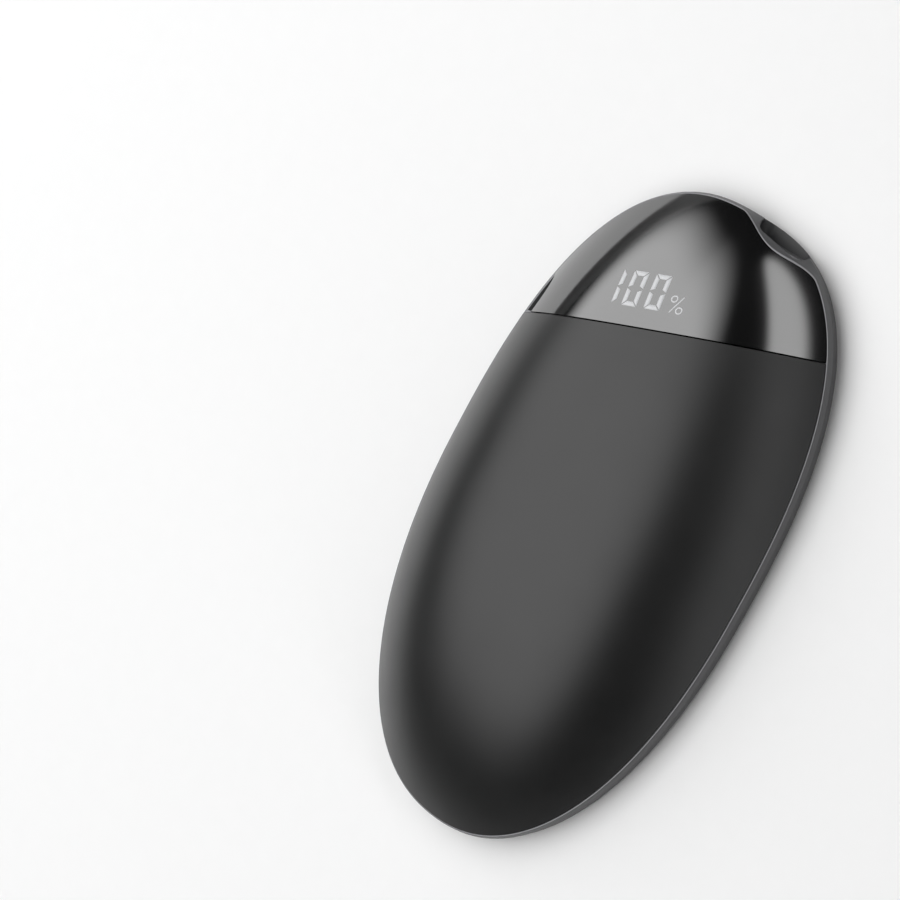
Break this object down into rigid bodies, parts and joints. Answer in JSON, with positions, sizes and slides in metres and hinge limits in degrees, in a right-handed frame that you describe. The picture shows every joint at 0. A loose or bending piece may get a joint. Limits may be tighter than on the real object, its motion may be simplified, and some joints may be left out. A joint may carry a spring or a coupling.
{
  "type": "rechargeable hand warmer",
  "caption": "Palm-sized egg-shaped electric hand warmer with a domed front, a slanted glossy display window, a grey edge band with a charging port and a flat back.",
  "frame": {"origin": "centre of the flat back, on the back's own plane", "axes": "+Z out of the domed front, +Y along the body towards the display and the charging port, +X towards the port's side"},
  "size_m": [0.0562, 0.101, 0.0178],
  "materials": {
    "cover_black": "soft-touch matte with a very fine grain",
    "window_black": "high gloss, tinted",
    "band_grey": "satin, fine blasted grain",
    "back_black": "matte",
    "button_black": "gloss",
    "socket_steel": "deep-drawn sheet",
    "tongue_black": "moulded",
    "seal_rubber": "matte",
    "switch_plastic": "moulded",
    "plunger_white": "moulded",
    "board_green": "solder mask",
    "chip_black": "moulded",
    "ferrite_grey": "sintered ferrite",
    "ceramic_tan": "fired ceramic",
    "light_box_white": "moulded",
    "mask_black": "printed film",
    "digit_white": "diffuser, lit from below",
    "led_white": "clear resin",
    "cell_foil": "laminated pouch foil",
    "foam_grey": "closed-cell foam",
    "nickel_strip": "rolled strip",
    "tray_white": "moulded",
    "bead_blue": "epoxy bead",
    "film_amber": "polyimide film",
    "plate_aluminium": "mill finish",
    "screw_steel": "blackened",
    "magnet_nickel": "nickel plated",
    "lead_red": "silicone insulation"
  },
  "bodies": {
    "body": {"front_cover": "cover_black", "display_window": "window_black", "mid_band": "band_grey", "back_cover": "back_black", "switch_body": "switch_plastic", "usb_c_shell": "socket_steel", "usb_c_tongue": "tongue_black", "port_gasket": "seal_rubber", "main_board": "board_green", "controller_chip": "chip_black", "power_inductor": "ferrite_grey", "charge_transistors": "chip_black", "chip_capacitors": "ceramic_tan", "display_box": "light_box_white", "display_mask": "mask_black", "digit_bars": "digit_white", "display_leds": "led_white", "battery_cell": "cell_foil", "battery_pad": "foam_grey", "battery_tabs": "nickel_strip", "protection_board": "board_green", "cell_tray": "tray_white", "thermistor": "bead_blue", "back_heater": "film_amber", "back_heat_plate": "plate_aluminium", "front_heater": "film_amber", "front_heat_plate": "plate_aluminium", "tray_screws": "screw_steel", "board_screws": "screw_steel", "back_magnets": "magnet_nickel", "battery_leads": "lead_red", "heater_leads": "lead_red"},
    "power_button": {"power_button": "button_black", "switch_plunger": "plunger_white"}
  },
  "joints": [
    {"name": "button_press", "type": "slide", "parent": "body", "child": "power_button", "axis": [1, 0, 0], "range_m": [0, 0.0005], "stiffness_N_per_m": 3000}
  ]
}
